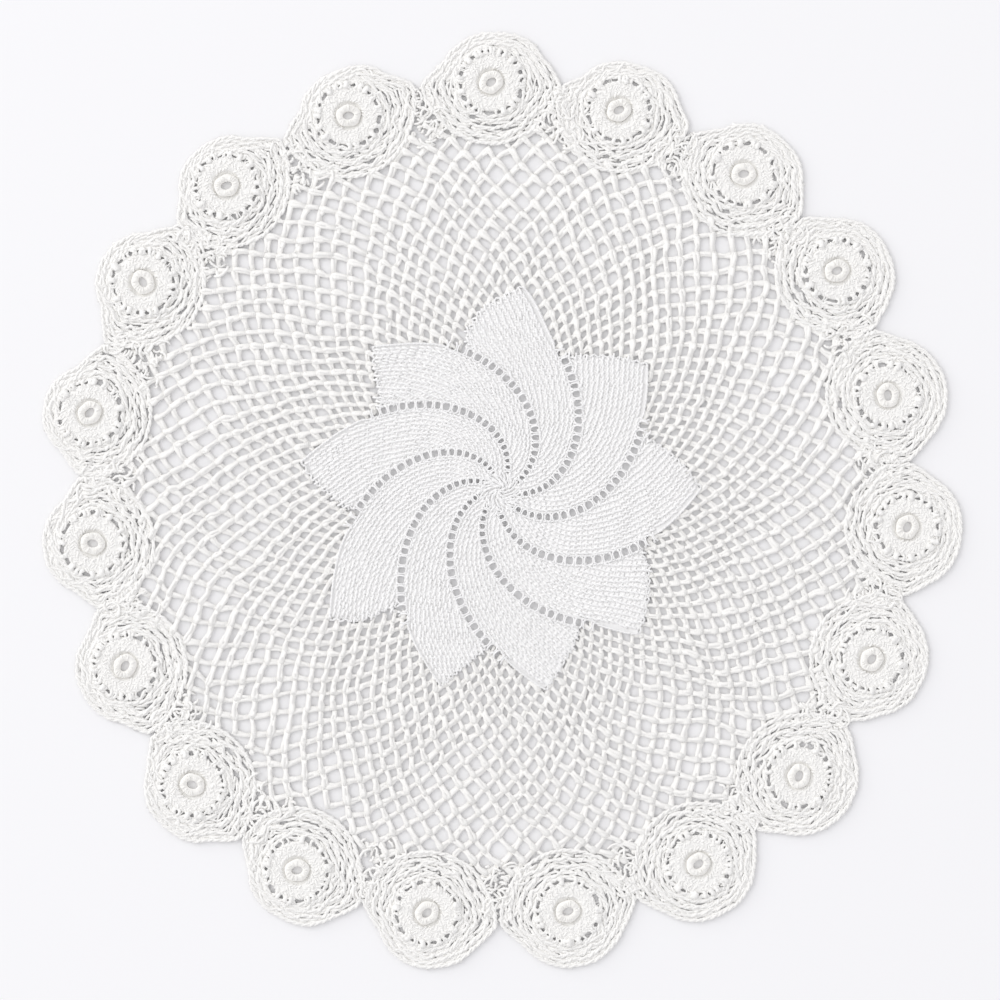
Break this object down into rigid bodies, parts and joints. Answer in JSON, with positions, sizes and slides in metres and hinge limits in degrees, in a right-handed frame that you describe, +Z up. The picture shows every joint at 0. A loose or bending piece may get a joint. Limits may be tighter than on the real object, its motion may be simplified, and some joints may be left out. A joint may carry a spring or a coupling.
{
  "type": "lace doily",
  "caption": "Round lace doily with a knitted swirl in the middle, a net round it and a scalloped border of crocheted wheels, laid flat under an ornament or a dish.",
  "frame": {"origin": "middle of the outline's box, on the surface that the doily lies on", "axes": "+Z up from the surface, +X and +Y in its plane"},
  "size_m": [0.3728, 0.3794, 0.0028],
  "materials": {
    "knitted_cotton": "matte",
    "crochet_cotton": "matte"
  },
  "bodies": {
    "root": {"knitted_ground": "knitted_cotton", "wheel_01": "crochet_cotton", "wheel_02": "crochet_cotton", "wheel_03": "crochet_cotton", "wheel_04": "crochet_cotton", "wheel_05": "crochet_cotton", "wheel_06": "crochet_cotton", "wheel_07": "crochet_cotton", "wheel_08": "crochet_cotton", "wheel_09": "crochet_cotton", "wheel_10": "crochet_cotton", "wheel_11": "crochet_cotton", "wheel_12": "crochet_cotton", "wheel_13": "crochet_cotton", "wheel_14": "crochet_cotton", "wheel_15": "crochet_cotton", "wheel_16": "crochet_cotton", "wheel_17": "crochet_cotton", "wheel_18": "crochet_cotton", "wheel_19": "crochet_cotton"}
  },
  "joints": []
}
